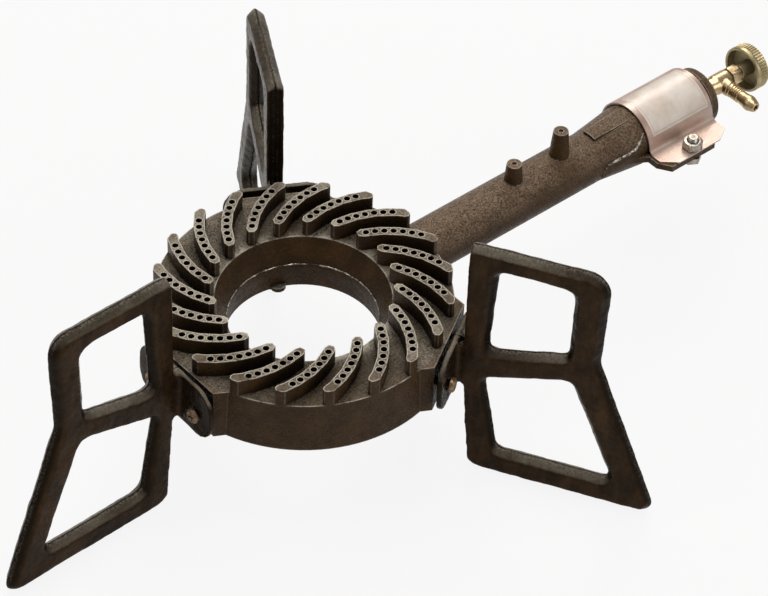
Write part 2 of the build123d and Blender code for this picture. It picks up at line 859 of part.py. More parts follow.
def nodes():
    """Every sub-part by name, built round the ring's axis."""
    made = {"burner_casting": burner_casting()}
    one_leg = leg()
    for name, angle in leg_angles.items():
        made[f"leg_{name}"] = Rot(0, 0, angle) * one_leg
        for number, side in enumerate((-1, 1), start=1):
            made[f"leg_{name}_screw_{number}"] = Rot(0, 0, angle) * leg_screw(side)
    made["air_shutter"] = air_shutter()
    made["shutter_bolt"] = shutter_bolt()
    made["shutter_nut"] = shutter_nut()
    made["valve_body"] = valve_body()
    made["injector_jet"] = injector_jet()
    made["hose_tail"] = hose_tail()
    made["valve_stem"] = valve_stem()
    made["gland_packing"] = gland_packing()
    made["gland_nut"] = gland_nut()
    made["knob"] = knob()
    made["knob_screw"] = knob_screw()
    return made


parts = nodes()
extents = [shape.bounding_box() for shape in parts.values()]
shift_x = -(min(extent.min.X for extent in extents) + max(extent.max.X for extent in extents)) / 2
shift_y = -(min(extent.min.Y for extent in extents) + max(extent.max.Y for extent in extents)) / 2

os.makedirs("parts", exist_ok=True)
for name, shape in parts.items():
    export_step(Pos(shift_x, shift_y, 0) * shape, f"parts/{name}.step")
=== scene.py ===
import math

import bmesh
import bpy
from mathutils import Matrix, Vector


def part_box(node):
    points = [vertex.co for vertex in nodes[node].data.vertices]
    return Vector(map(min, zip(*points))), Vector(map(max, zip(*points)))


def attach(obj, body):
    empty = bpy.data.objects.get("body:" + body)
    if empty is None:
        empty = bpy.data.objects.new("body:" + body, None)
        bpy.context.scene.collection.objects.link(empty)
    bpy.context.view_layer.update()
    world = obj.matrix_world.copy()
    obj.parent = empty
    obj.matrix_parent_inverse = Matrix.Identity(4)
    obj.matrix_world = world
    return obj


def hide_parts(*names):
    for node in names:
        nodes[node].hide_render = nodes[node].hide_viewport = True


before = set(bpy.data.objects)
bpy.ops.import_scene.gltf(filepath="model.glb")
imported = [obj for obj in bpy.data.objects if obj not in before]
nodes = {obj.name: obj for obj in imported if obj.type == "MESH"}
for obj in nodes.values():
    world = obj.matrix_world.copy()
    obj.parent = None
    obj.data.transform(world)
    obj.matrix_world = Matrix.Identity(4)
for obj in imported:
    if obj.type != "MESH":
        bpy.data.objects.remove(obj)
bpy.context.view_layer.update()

# Places are in metres, in the CAD's frame: +X runs along the mixing tube to the valve,
# +Z is up and the floor is at zero. The sizes of turned forms are in millimetres, and
# those along the tube are measured from the ring's axis.
MM = 0.001
SHANK_START = 349.0  # inner end of the valve's shank

# ------------------------------------------------- places read from the frame
stem_low, stem_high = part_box("valve_stem")
AXIS_Y = (stem_low[1] + stem_high[1]) / 2
AXIS_Z = (stem_low[2] + stem_high[2]) / 2
RING_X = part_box("valve_body")[0][0] - SHANK_START * MM
RING_CENTRE = Vector((RING_X, AXIS_Y, 0.0))

# Each leg's direction from the ring's axis, in degrees from +X.
LEG_HEADINGS = {"leg_opposite": 181.0, "leg_left": 61.0, "leg_right": -59.0}

# ------------------------------------------------------------------ the stage
# The camera was fitted to the photograph: place in metres, turn in degrees.
CAMERA_PLACE = (-1.03173, -1.14144, 1.55719)
CAMERA_TURN = (45.7498, -1.7723, -40.0299)
CAMERA_LENS = 147.518
SENSOR_WIDTH = 36.0
FAR_CLIP = 20.0

WHITE = (1.0, 1.0, 1.0, 1.0)
WORLD_STRENGTH = 0.22
FLOOR_SIZE = 12.0
FLOOR_PAINT = (0.6, 0.6, 0.6, 1.0)
CAMERA_GLOW = 0.88  # how much of the floor's white the camera sees
MIRROR_GLOW = 0.25  # how much of it shows in gloss and through glass

LAMP_AIM = (0.0, 0.0, 0.1)
LAMPS = (  # name, place, width, watts, colour
    ("overhead", (0.2, 0.2, 2.4), 1.6, 27.0, (1.0, 0.97, 0.93)),
    ("back_key", (1.3, 1.5, 1.9), 1.3, 30.0, (1.0, 0.98, 0.95)),
    ("left_fill", (-1.8, 0.6, 1.4), 1.4, 8.0, (1.0, 1.0, 1.0)),
    ("front_fill", (0.7, -1.9, 1.2), 1.4, 12.0, (1.0, 1.0, 1.0)),
)


def make_camera():
    """The camera at the photograph's viewing angle."""
    data = bpy.data.cameras.new("camera")
    data.lens = CAMERA_LENS
    data.sensor_width = SENSOR_WIDTH
    data.clip_end = FAR_CLIP
    camera = bpy.data.objects.new("camera", data)
    camera.location = CAMERA_PLACE
    camera.rotation_euler = [math.radians(turn) for turn in CAMERA_TURN]
    bpy.context.collection.objects.link(camera)
    bpy.context.scene.camera = camera


def make_lamp(name, place, width, watts, colour):
    """A square soft lamp that points at the object."""
    data = bpy.data.lights.new(name, "AREA")
    data.shape = "SQUARE"
    data.size = width
    data.energy = watts
    data.color = colour
    lamp = bpy.data.objects.new(name, data)
    lamp.location = place
    aim = Vector(LAMP_AIM) - Vector(place)
    lamp.rotation_euler = aim.to_track_quat("-Z", "Y").to_euler()
    bpy.context.collection.objects.link(lamp)


def make_world():
    """An even, dim white surround."""
    world = bpy.data.worlds.new("world")
    world.use_nodes = True
    background = world.node_tree.nodes["Background"]
    background.inputs["Color"].default_value = WHITE
    background.inputs["Strength"].default_value = WORLD_STRENGTH
    bpy.context.scene.world = world


def make_floor():
    """A pale floor that reads as white to the camera and keeps the object's shadow."""
    bpy.ops.mesh.primitive_plane_add(size=FLOOR_SIZE, location=(0.0, 0.0, 0.0))
    floor = bpy.context.object
    floor.name = "floor"
    material = bpy.data.materials.new("floor")
    material.use_nodes = True
    tree = material.node_tree
    tree.nodes.clear()
    paint = put(tree, "BsdfDiffuse", {"Color": FLOOR_PAINT})
    glow = put(tree, "Emission", {"Color": WHITE, "Strength": 1.0})
    path = put(tree, "LightPath").outputs
    mirrored = times(tree, plus(tree, path["Is Glossy Ray"], path["Is Transmission Ray"]), MIRROR_GLOW)
    share = plus(tree, times(tree, path["Is Camera Ray"], CAMERA_GLOW), mirrored)
    shader = put(tree, "MixShader", {"Fac": share, 1: paint.outputs[0], 2: glow.outputs[0]})
    put(tree, "OutputMaterial", {"Surface": shader.outputs[0]})
    floor.data.materials.append(material)


# ------------------------------------------------------------ material helpers
def put(tree, kind, sockets=None, **settings):
    """Add a shader node, with values or links for its sockets."""
    made = tree.nodes.new("ShaderNode" + kind)
    for name, value in settings.items():
        setattr(made, name, value)
    for key, value in (sockets or {}).items():
        if isinstance(value, bpy.types.NodeSocket):
            tree.links.new(value, made.inputs[key])
        else:
            made.inputs[key].default_value = value
    return made


def maths(tree, operation, first, second=0.0):
    """One sum of two numbers."""
    return put(tree, "Math", {0: first, 1: second}, operation=operation).outputs[0]


def plus(tree, first, second):
    """Two numbers added."""
    return maths(tree, "ADD", first, second)


def times(tree, first, second):
    """Two numbers multiplied."""
    return maths(tree, "MULTIPLY", first, second)


def spread(tree, value, low, high, to_low=0.0, to_high=1.0):
    """Stretch a number from one range to another, and stop at its ends."""
    sockets = {"Value": value, "From Min": low, "From Max": high, "To Min": to_low, "To Max": to_high}
    return put(tree, "MapRange", sockets).outputs[0]


def as_colour(value):
    """Three numbers as a colour, and a socket as it is."""
    return value if isinstance(value, bpy.types.NodeSocket) else (*value, 1.0)


def blend_colours(tree, share, first, second):
    """A mix of two colours."""
    sockets = {0: share, 6: as_colour(first), 7: as_colour(second)}
    return put(tree, "Mix", sockets, data_type="RGBA").outputs[2]


def noise(tree, place, scale, detail=4.0, roughness=0.6):
    """Cloudy noise, its scale in lumps a metre."""
    sockets = {"Vector": place, "Scale": scale, "Detail": detail, "Roughness": roughness}
    return put(tree, "TexNoise", sockets).outputs["Fac"]


def stretched(tree, place, scale):
    """A place scaled along each axis, to draw a noise out."""
    return put(tree, "Mapping", {0: place, "Scale": scale}).outputs[0]


def object_place(tree):
    """The point's own place on the object, in metres."""
    return put(tree, "TexCoord").outputs["Object"]


def openness(tree, reach, samples):
    """How open the surface is within a reach: 0 in a nook and 1 in the open."""
    return put(tree, "AmbientOcclusion", {"Distance": reach}, samples=samples).outputs["AO"]


def mesh_value(tree, name):
    """A number that the mesh carries at its points."""
    return put(tree, "Attribute", attribute_name=name).outputs["Fac"]


def new_material(name, **constants):
    """A Principled material with its constant sockets set."""
    material = bpy.data.materials.new(name)
    material.use_nodes = True
    shader = material.node_tree.nodes["Principled BSDF"]
    for key, value in constants.items():
        shader.inputs[key.replace("_", " ")].default_value = value
    return material, material.node_tree, shader


def wire(tree, shader, key, value):
    """Lead a socket into the shader."""
    tree.links.new(value, shader.inputs[key])


def add_bump(tree, shader, strength, depth, height):
    """Roughen the shader's surface, by a height pattern and a depth in metres."""
    bump = put(tree, "Bump", {"Strength": strength, "Distance": depth, "Height": height})
    wire(tree, shader, "Normal", bump.outputs[0])
    return bump


# ------------------------------------------------------------- painted iron
PAINT_DARK = (0.0075, 0.0042, 0.0022)
PAINT_BROWN = (0.070, 0.036, 0.014)
# Bare iron, for rubbed paint and for the painted highlights along edges.
BARE_IRON_AND_GLINT = (0.60, 0.55, 0.46)
# Colours of the layer on what faces up: rubbed paint, with painted top light and sheen.
WEAR_AND_SHEEN_DARK = (0.060, 0.047, 0.033)
WEAR_AND_SHEEN_LIGHT = (0.300, 0.262, 0.205)
TUBE_DARK = (0.050, 0.030, 0.018)
TUBE_LIGHT = (0.225, 0.158, 0.108)
PARTING_DARK = (0.005, 0.003, 0.002)
WARM_TINT = (1.0, 0.76, 0.52, 1.0)

# Noise scales of the iron, in lumps a metre.
GRAIN = 760.0
LUMPS = 170.0
RUNS = 62.0
CLOUDS = 22.0
STREAKS = 210.0

NOOK_REACH = 0.016
EDGE_REACH = 0.004
CHIP_AND_GLINT_RADIUS = 0.0015  # how far the chipping and its painted highlight reach from an edge
SOFT_RADIUS = 0.0009  # radius of the casting's worn edges
IRON_SAMPLES = 6
EDGE_SAMPLES = 8
NOOK_SAMPLES = 8

# Where one finish gives way to the next, and where the rib tops' painted light begins: distance from
# the ring's axis, or height.
BORE_EDGE = (0.059, 0.067)
RING_EDGE = (0.098, 0.104)
RIB_FACE = (0.120, 0.124)


def edge_turn(tree, radius):
    """How far the normal of softened edges turns from the true one."""
    soft = put(tree, "Bevel", {"Radius": radius}, samples=EDGE_SAMPLES).outputs[0]
    true = put(tree, "NewGeometry").outputs["Normal"]
    dot = put(tree, "VectorMath", {0: soft, 1: true}, operation="DOT_PRODUCT").outputs["Value"]
    return maths(tree, "SUBTRACT", 1.0, dot)


def ring_reach(tree, place):
    """The distance from the ring's axis, in metres."""
    from_ring = put(tree, "VectorMath", {0: place, 1: RING_CENTRE}, operation="SUBTRACT").outputs[0]
    flat = {0: from_ring, 1: (1.0, 1.0, 0.0)}
    level = put(tree, "VectorMath", flat, operation="MULTIPLY").outputs[0]
    return put(tree, "VectorMath", {0: level}, operation="LENGTH").outputs["Value"]


class Iron:
    """Semi-gloss brown-black paint over sand-cast iron, rubbed pale and painted with top light on what
    faces up.

    Both iron materials share its patterns and its layers. A layer is a colour with the
    share of it that covers what lies below."""

    def __init__(self, name, gloss):
        constants = {"Specular_IOR_Level": gloss, "Specular_Tint": WARM_TINT}
        self.material, tree, self.shader = new_material(name, **constants)
        self.tree = tree
        self.place = object_place(tree)
        self.grain = noise(tree, self.place, GRAIN, 2.0, 0.7)
        self.lumps = noise(tree, self.place, LUMPS, 3.0)
        self.runs = noise(tree, stretched(tree, self.place, (1.0, 1.0, 0.7)), RUNS)
        normal = put(tree, "NewGeometry").outputs["Normal"]
        self.up = put(tree, "SeparateXYZ", {0: normal}).outputs["Z"]
        self.nook = openness(tree, NOOK_REACH, IRON_SAMPLES)
        self.mottle = plus(tree, self.grain, times(tree, self.lumps, 0.25))
        self.colour = None

    def paint(self, brown):
        """The bottom layer: dark paint with a brown cast."""
        self.colour = blend_colours(self.tree, brown, PAINT_DARK, PAINT_BROWN)

    def cover(self, share, colour):
        """One more layer."""
        self.colour = blend_colours(self.tree, share, self.colour, colour)

    def wear_and_top_light(self, colour, wear_and_light_from, wear_and_light_share):
        """Paint rubbed through in clouds, and painted top light, where the surface faces up enough and
        stands clear of nooks.
        """
        tree = self.tree
        wear_and_light = maths(tree, "SUBTRACT", self.up, wear_and_light_from)
        wear_and_light = spread(tree, wear_and_light, 0.0, 0.4, 0.0, wear_and_light_share)
        wear_and_light = times(tree, wear_and_light, spread(tree, self.nook, 0.15, 0.6))
        clouds = noise(tree, self.place, CLOUDS, 2.0, 0.5)
        self.cover(times(tree, wear_and_light, spread(tree, clouds, 0.40, 0.58, 0.35, 1.0)), colour)

    def chip_and_glint(self, first_turn, full_turn, chip_and_glint_share):
        """Bare flecks of chipping and painted highlights along the edges that stand free, more on
        those that face up.
        """
        tree = self.tree
        turn = edge_turn(tree, CHIP_AND_GLINT_RADIUS)
        chips_and_glints = spread(tree, turn, first_turn, full_turn)
        chips_and_glints = times(tree, chips_and_glints, spread(tree, self.lumps, 0.30, 0.48))
        free = openness(tree, EDGE_REACH, IRON_SAMPLES)
        chips_and_glints = times(tree, chips_and_glints, spread(tree, free, 0.7, 0.92))
        chips_and_glints = times(tree, chips_and_glints, times(tree, spread(tree, self.up, -0.2, 0.5), chip_and_glint_share))
        self.cover(chips_and_glints, BARE_IRON_AND_GLINT)

    def finish(self, roughness, bump_depth):
        """Lead the layers into the shader and add the sand's grain."""
        tree = self.tree
        wire(tree, self.shader, "Base Color", self.colour)
        rough = spread(tree, self.lumps, 0.35, 0.65, roughness, roughness + 0.2)
        wire(tree, self.shader, "Roughness", rough)
        height = plus(tree, self.grain, times(tree, self.lumps, 1.2))
        return add_bump(tree, self.shader, 0.8, bump_depth, height)


def ring_iron():
    """The casting's finish: ribs paled by rubbed paint and painted top light, a bare bore edge, a
    rusty brown tube with its top painted lighter, and painted shade in the nooks.
    """
    iron = Iron("cast_iron_ring", 0.2)
    tree = iron.tree
    reach = ring_reach(tree, iron.place)
    brown = spread(tree, iron.runs, 0.38, 0.64, 0.5, 1.0)
    # Painted shade: in the nooks the brown gives way to the dark paint.
    iron.paint(times(tree, brown, spread(tree, iron.nook, 0.35, 0.75)))

    height = put(tree, "SeparateXYZ", {0: iron.place}).outputs["Z"]
    speckle = spread(tree, iron.mottle, 0.48, 0.78)
    # Painted top light: the rib tops get a lift, so they read paler than the plate.
    speckle = plus(tree, speckle, spread(tree, height, *RIB_FACE, 0.0, 0.22))
    wear_and_light = blend_colours(tree, speckle, WEAR_AND_SHEEN_DARK, WEAR_AND_SHEEN_LIGHT)
    rubbed = times(tree, spread(tree, reach, *BORE_EDGE, 1.0, 0.0), spread(tree, iron.lumps, 0.4, 0.6))
    wear_and_light = blend_colours(tree, times(tree, rubbed, 0.8), wear_and_light, BARE_IRON_AND_GLINT)
    # On the tube this layer is warm brown and starts lower down the sides, so the tube's top is
    # painted lighter, as if lit from above.
    on_tube = blend_colours(tree, speckle, TUBE_DARK, TUBE_LIGHT)
    wear_and_light = blend_colours(tree, spread(tree, reach, *RING_EDGE), wear_and_light, on_tube)
    iron.wear_and_top_light(wear_and_light, spread(tree, reach, *RING_EDGE, 0.55, 0.1), 1.0)
    iron.chip_and_glint(0.006, 0.05, spread(tree, reach, *RING_EDGE, 1.0, 0.45))

    bump = iron.finish(0.20, 0.0011)
    soft = put(tree, "Bevel", {"Radius": SOFT_RADIUS}, samples=IRON_SAMPLES).outputs[0]
    tree.links.new(soft, bump.inputs["Normal"])
    return iron.material


def leg_iron():
    """The legs' finish: dark, streaked, with a dark parting line, a painted highlight along it and
    painted sheen on what faces up.

    "across" is the distance in mm from the leg's middle plane, where the mould parts."""
    iron = Iron("cast_iron_leg", 0.12)
    tree = iron.tree
    away = maths(tree, "ABSOLUTE", mesh_value(tree, "across"))
    on_face = times(tree, spread(tree, away, 3.6, 5.4), spread(tree, away, 7.5, 10.0, 1.0, 0.3))
    brown = times(tree, spread(tree, iron.runs, 0.38, 0.64, 0.25, 0.85), on_face)
    drawn = noise(tree, stretched(tree, iron.place, (1.0, 1.0, 0.22)), STREAKS, 3.0)
    iron.paint(times(tree, brown, spread(tree, drawn, 0.42, 0.58, 0.62, 1.0)))

    # Painted sheen on the up-facing slopes, mixed with rubbed paint.
    speckle = spread(tree, iron.mottle, 0.45, 0.80, 0.35, 0.85)
    iron.wear_and_top_light(blend_colours(tree, speckle, WEAR_AND_SHEEN_DARK, WEAR_AND_SHEEN_LIGHT), 0.35, 0.7)
    iron.chip_and_glint(0.03, 0.12, 0.3)
    # Painted highlight along the crest next to the parting line, stronger where it faces up.
    crest_glint = times(tree, spread(tree, away, 1.6, 2.6, 1.0, 0.0), spread(tree, iron.grain, 0.45, 0.6))
    iron.cover(times(tree, crest_glint, spread(tree, iron.up, -0.1, 0.6, 0.0, 0.35)), WEAR_AND_SHEEN_LIGHT)
    ragged = plus(tree, away, times(tree, iron.grain, 0.6))
    iron.cover(spread(tree, ragged, 0.7, 1.15, 0.95, 0.0), PARTING_DARK)
    iron.finish(0.12, 0.0003)
    return iron.material


# ------------------------------------------------------------- other materials
def flash_material():
    """Bright scraped iron on casting flash."""
    material, tree, shader = new_material("bare_iron", Metallic=0.5)
    patches = spread(tree, noise(tree, object_place(tree), 160.0, 4.0, 0.7), 0.44, 0.6)
    colour = blend_colours(tree, patches, (0.05, 0.036, 0.028), (0.66, 0.61, 0.53))
    wire(tree, shader, "Base Color", colour)
    wire(tree, shader, "Roughness", spread(tree, patches, 0.0, 1.0, 0.5, 0.3))
    return material


BRASS_GRIME_AND_SHADE = (0.125, 0.098, 0.064)


def brass_material(name, bright, dull, roughness, nook_reach):
    """Turned brass, dulled in patches, with painted shade and grime where little light gets in."""
    material, tree, shader = new_material(name)
    place = object_place(tree)
    patches = spread(tree, noise(tree, place, 140.0, 5.0, 0.65), 0.35, 0.65)
    # Painted shade with grime: the hollows go darker and less metallic.
    grime_and_shade = spread(tree, openness(tree, nook_reach, NOOK_SAMPLES), 0.2, 0.8, 0.8, 0.0)
    colour = blend_colours(tree, patches, bright, dull)
    wire(tree, shader, "Base Color", blend_colours(tree, grime_and_shade, colour, BRASS_GRIME_AND_SHADE))
    wire(tree, shader, "Metallic", spread(tree, grime_and_shade, 0.0, 1.0, 1.0, 0.3))
    wire(tree, shader, "Roughness", spread(tree, patches, 0.0, 1.0, roughness, roughness + 0.14))
    marks = noise(tree, stretched(tree, place, (900.0, 60.0, 60.0)), 1.0, 3.0)
    height = plus(tree, marks, noise(tree, place, 500.0, 3.0))
    add_bump(tree, shader, 0.25, 0.0002, height)
    return material


def sheet_material():
    """Thin rolled sheet with a rosy cast, faint draw marks and a few scuffs."""
    material, tree, shader = new_material("shutter_sheet", Metallic=0.55)
    place = object_place(tree)
    patches = spread(tree, noise(tree, place, 45.0, 3.0, 0.5), 0.35, 0.65)
    colour = blend_colours(tree, patches, (0.50, 0.335, 0.26), (0.56, 0.44, 0.375))
    wire(tree, shader, "Base Color", colour)
    drawn = noise(tree, stretched(tree, place, (60.0, 1800.0, 1800.0)), 1.0, 3.0)
    wire(tree, shader, "Roughness", spread(tree, drawn, 0.3, 0.7, 0.30, 0.44))
    add_bump(tree, shader, 0.12, 0.0001, drawn)
    return material


def label_material():
    """A blank foil label with a thin darker border."""
    material, tree, shader = new_material("blank_label", Metallic=0.1, Roughness=0.36)
    place = object_place(tree)
    rubbed = spread(tree, noise(tree, place, 60.0), 0.4, 0.65)
    colour = blend_colours(tree, rubbed, (0.74, 0.665, 0.595), (0.62, 0.515, 0.435))
    border = times(tree, mesh_value(tree, "border"), 0.55)
    wire(tree, shader, "Base Color", blend_colours(tree, border, colour, (0.50, 0.37, 0.29)))
    add_bump(tree, shader, 0.1, 0.0001, noise(tree, place, 220.0))
    return material


STEEL_GRIME_AND_SHADE = (0.020, 0.014, 0.010)
STEEL_NOOK = 0.005


def steel_material(name, bright, dull, metallic):
    """Plated or rusty steel: two tones in patches, a fine grain, and painted shade with grime in the
    nooks.
    """
    material, tree, shader = new_material(name, Metallic=metallic)
    place = object_place(tree)
    patches = spread(tree, noise(tree, place, 260.0, 5.0, 0.7), 0.38, 0.64)
    # Painted shade with grime: nooks such as the screws' cross recesses go nearly black.
    grime_and_shade = spread(tree, openness(tree, STEEL_NOOK, NOOK_SAMPLES), 0.35, 0.75, 0.95, 0.0)
    colour = blend_colours(tree, patches, bright, dull)
    wire(tree, shader, "Base Color", blend_colours(tree, grime_and_shade, colour, STEEL_GRIME_AND_SHADE))
    wire(tree, shader, "Roughness", spread(tree, patches, 0.0, 1.0, 0.32, 0.5))
    add_bump(tree, shader, 0.25, 0.0002, noise(tree, place, 900.0))
    return material


def packing_material():
    """Matt white packing."""
    material, tree, shader = new_material("packing", Roughness=0.7)
    fibre = noise(tree, object_place(tree), 700.0)
    colour = blend_colours(tree, fibre, (0.74, 0.73, 0.70), (0.62, 0.60, 0.56))
    wire(tree, shader, "Base Color", colour)
    return material


# --------------------------------------------------------------- mesh helpers
SHARP_EDGE = math.radians(32.0)
SAME_POINT = 1e-7


def corners_of(name):
    """The two corners of a node's box."""
    return [Vector(corner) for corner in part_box(name)]


def new_piece(name, mesh):
    """An object in the scene that carries a mesh."""
    piece = bpy.data.objects.new(name, mesh)
    bpy.context.collection.objects.link(piece)
    return piece


def copy_of(node, name):
    """A piece that starts as a node's own solid."""
    mesh = nodes[node].data.copy()
    mesh.name = name
    return new_piece(name, mesh)


def break_shading(built):
    """Smooth shading that breaks only at sharp edges."""
    for face in built.faces:
        face.smooth = True
        face.material_index = 0
    for edge in built.edges:
        edge.smooth = len(edge.link_faces) == 2 and edge.calc_face_angle(0.0) < SHARP_EDGE


def finish_mesh(name, built):
    """Turn a bmesh into a piece."""
    bmesh.ops.remove_doubles(built, verts=built.verts, dist=SAME_POINT)
    bmesh.ops.recalc_face_normals(built, faces=built.faces)
    break_shading(built)
    mesh = bpy.data.meshes.new(name)
    built.to_mesh(mesh)
    built.free()
    return new_piece(name, mesh)


def dress(piece, body, slot, material, *replaced):
    """Give a piece its body, its material and the nodes it stands for. The slot is not used."""
    piece.data.materials.clear()
    piece.data.materials.append(material)
    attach(piece, body)
    if replaced:
        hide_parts(*replaced)


def with_modifiers(piece):
    """Replace a piece's mesh by the one that its modifiers make."""
    bpy.context.view_layer.update()
    graph = bpy.context.evaluated_depsgraph_get()
    mesh = bpy.data.meshes.new_from_object(piece.evaluated_get(graph))
    piece.modifiers.clear()
    piece.data = mesh
    return mesh


def cut_away(piece, name, built, crossing=False):
    """Take a cutter's form out of a piece."""
    cutter = finish_mesh(name, built)
    cut = piece.modifiers.new(name, "BOOLEAN")
    cut.operation = "DIFFERENCE"
    cut.solver = "EXACT"
    cut.use_self = crossing
    cut.object = cutter
    mesh = with_modifiers(piece)
    bpy.data.objects.remove(cutter)
    return mesh


def add_remesh(piece, voxel, rounds):
    """Remake a piece's skin from voxels and soften it."""
    remesh = piece.modifiers.new("remesh", "REMESH")
    remesh.mode = "VOXEL"
    remesh.voxel_size = voxel
    smooth = piece.modifiers.new("smooth", "SMOOTH")
    smooth.factor = 0.5
    smooth.iterations = rounds


def smooth_shading(mesh):
    """Smooth shading all over."""
    for polygon in mesh.polygons:
        polygon.use_smooth = True


# ------------------------------------------------------------- turned forms
def round_form(turn, along, radius):
    """The radius of a plain turned form."""
    return radius


def hexagon_form(across_flats, start_turn=0.0):
    """A shape that keeps a turned form inside a hexagon."""
    def limit(turn, along, radius):
        wedge = (turn - start_turn) % (math.pi / 3) - math.pi / 6
        return min(radius, across_flats / 2 / math.cos(wedge))
    return limit


def hexagon_corner(across_flats):
    """The distance from a hexagon's middle to its corners."""
    return across_flats / 2 / math.cos(math.pi / 6)


def spun(built, profile, sides, place, shape=round_form):
    """Add a form turned about the local X axis, from (along, radius) points in mm.

    A profile that starts and ends on the axis is a solid bar, and any other one closes
    on itself as a ring."""
    rings = []
    for along, radius in profile:
        ring = []
        for i in range(1 if radius == 0 else sides):
            turn = math.tau * i / sides
            reach = shape(turn, along, radius)
            point = Vector((along, reach * math.cos(turn), reach * math.sin(turn))) * MM
            ring.append(built.verts.new(place @ point))
        rings.append(ring)
    if profile[0][1] > 0:
        rings.append(rings[0])
    for ring, following in zip(rings, rings[1:]):
        for i in range(sides):
            corners = [ring[i % len(ring)], ring[(i + 1) % len(ring)]]
            corners += [following[(i + 1) % len(following)], following[i % len(following)]]
            different = list(dict.fromkeys(corners))
            if len(different) > 2:
                built.faces.new(different)


def turned(name, profile, sides, place, shape=round_form):
    """A piece made of one turned form."""
    built = bmesh.new()
    spun(built, profile, sides, place, shape)
    return finish_mesh(name, built)


def add_box(built, place, size):
    """Add a box to a cutter: its middle's place and its size in mm."""
    scale = Matrix.Diagonal((*(side * MM for side in size), 1.0))
    bmesh.ops.create_cube(built, size=1.0, matrix=place @ scale)


def tube_frame(along=0.0, turned_to=0.0):
    """A place on the tube's axis, turned about the upright."""
    spot = Vector((RING_X + along * MM, AXIS_Y, AXIS_Z))
    return Matrix.Translation(spot) @ Matrix.Rotation(turned_to, 4, "Z")


def upright_frame(spot):
    """A place whose local X axis points up."""
    return Matrix.Translation(spot) @ Matrix.Rotation(-math.pi / 2, 4, "Y")


def arc_profile(centre_along, centre_radius, size, start, end, steps):
    """Points of a rounded corner on a profile, by its start and end angle in degrees."""
    points = []
    for i in range(steps + 1):
        turn = math.radians(start + (end - start) * i / steps)
        points.append((centre_along + size * math.cos(turn), centre_radius + size * math.sin(turn)))
    return points


def thread_profile(start, end, radius, pitch, depth):
    """A threaded length's outline, as a row of crests."""
    points = []
    for i in range(round((end - start) / pitch)):
        points += [(start + i * pitch, radius - depth), (start + (i + 0.5) * pitch, radius)]
    return points + [(end, radius - depth)]


# ------------------------------------------------------------------ the casting
RIB_TOP = 126.9 * MM
RIM_SLACK = 0.01 * MM
FACES_UP = 0.99
RIM_WELD = 1e-6
WIDEST_PORT = 5.0 * MM
PORT_MOUTH = 2.2 * MM
MOUTH_DEPTH = 4.0 * MM
DRILL_SIDES = 20


def rim_neighbours(built):
    """Which points follow each other along the edges of the rib tops."""
    neighbours = {}
    for edge in built.edges:
        on_top = all(abs(vertex.co.z - RIB_TOP) < RIM_SLACK for vertex in edge.verts)
        if on_top and sum(face.normal.z > FACES_UP for face in edge.link_faces) == 1:
            first, second = edge.verts
            neighbours.setdefault(first, []).append(second)
            neighbours.setdefault(second, []).append(first)
    return neighbours


def port_centres(mesh):
    """The middle of each port's mouth, read from the casting's own mesh."""
    built = bmesh.new()
    built.from_mesh(mesh)
    bmesh.ops.remove_doubles(built, verts=built.verts, dist=RIM_WELD)
    neighbours = rim_neighbours(built)
    centres = []
    seen = set()
    for start in neighbours:
        loop = []
        waiting = [start]
        while waiting:
            vertex = waiting.pop()
            if vertex not in seen:
                seen.add(vertex)
                loop.append(vertex.co.copy())
                waiting += neighbours[vertex]
        if loop:
            width = max(point.x for point in loop) - min(point.x for point in loop)
            depth = max(point.y for point in loop) - min(point.y for point in loop)
            if max(width, depth) < WIDEST_PORT:
                centres.append(sum(loop, Vector()) / len(loop))
    built.free()
    return centres


def burner_casting(material):
    """The casting with each port's mouth opened out by its drill."""
    piece = copy_of("burner_casting", "burner_casting_drilled")
    drills = bmesh.new()
    for centre in port_centres(piece.data):
        bmesh.ops.create_cone(
            drills, cap_ends=True, segments=DRILL_SIDES, radius1=PORT_MOUTH, radius2=PORT_MOUTH,
            depth=2 * MOUTH_DEPTH, matrix=Matrix.Translation(centre),
        )
    mesh = cut_away(piece, "drills", drills)
    built = bmesh.new()
    built.from_mesh(mesh)
    bmesh.ops.remove_doubles(built, verts=built.verts, dist=SAME_POINT)
    break_shading(built)
    built.to_mesh(mesh)
    built.free()
    dress(piece, "burner", "cast_iron", material, "burner_casting")


# ------------------------------------------------------------------- the legs
LEG_VOXEL = 1.25 * MM
LEG_SMOOTHING = 9
LEG_SKIN = (("sand", 0.014, 0.0010), ("grit", 0.004, 0.0004))  # name, lump size, depth


def add_displace(piece, name, lump, depth):
    """Sink the surface by a cloud pattern, so that nothing swells past the CAD."""
    texture = bpy.data.textures.new(name, "CLOUDS")
    texture.noise_scale = lump
    texture.noise_depth = 2
    modifier = piece.modifiers.new(name, "DISPLACE")
    modifier.texture = texture
    modifier.texture_coords = "LOCAL"
    modifier.mid_level = 1.0
    modifier.strength = depth


def cast_leg(name, material):
    """A leg with the softened edges and uneven skin of a sand casting."""
    piece = copy_of(name, name + "_cast")
    add_remesh(piece, LEG_VOXEL, LEG_SMOOTHING)
    for layer, lump, depth in LEG_SKIN:
        add_displace(piece, f"{name}_{layer}", lump, depth)
    mesh = with_modifiers(piece)
    low, high = corners_of(name)
    heading = math.radians(LEG_HEADINGS[name])
    sideways = Vector((-math.sin(heading), math.cos(heading), 0.0))
    across = mesh.attributes.new("across", "FLOAT", "POINT")
    for vertex in mesh.vertices:
        vertex.co = [min(max(c, a), b) for c, a, b in zip(vertex.co, low, high)]
        across.data[vertex.index].value = sideways.dot(vertex.co - RING_CENTRE) / MM
    smooth_shading(mesh)
    dress(piece, "burner", "cast_iron", material, name)


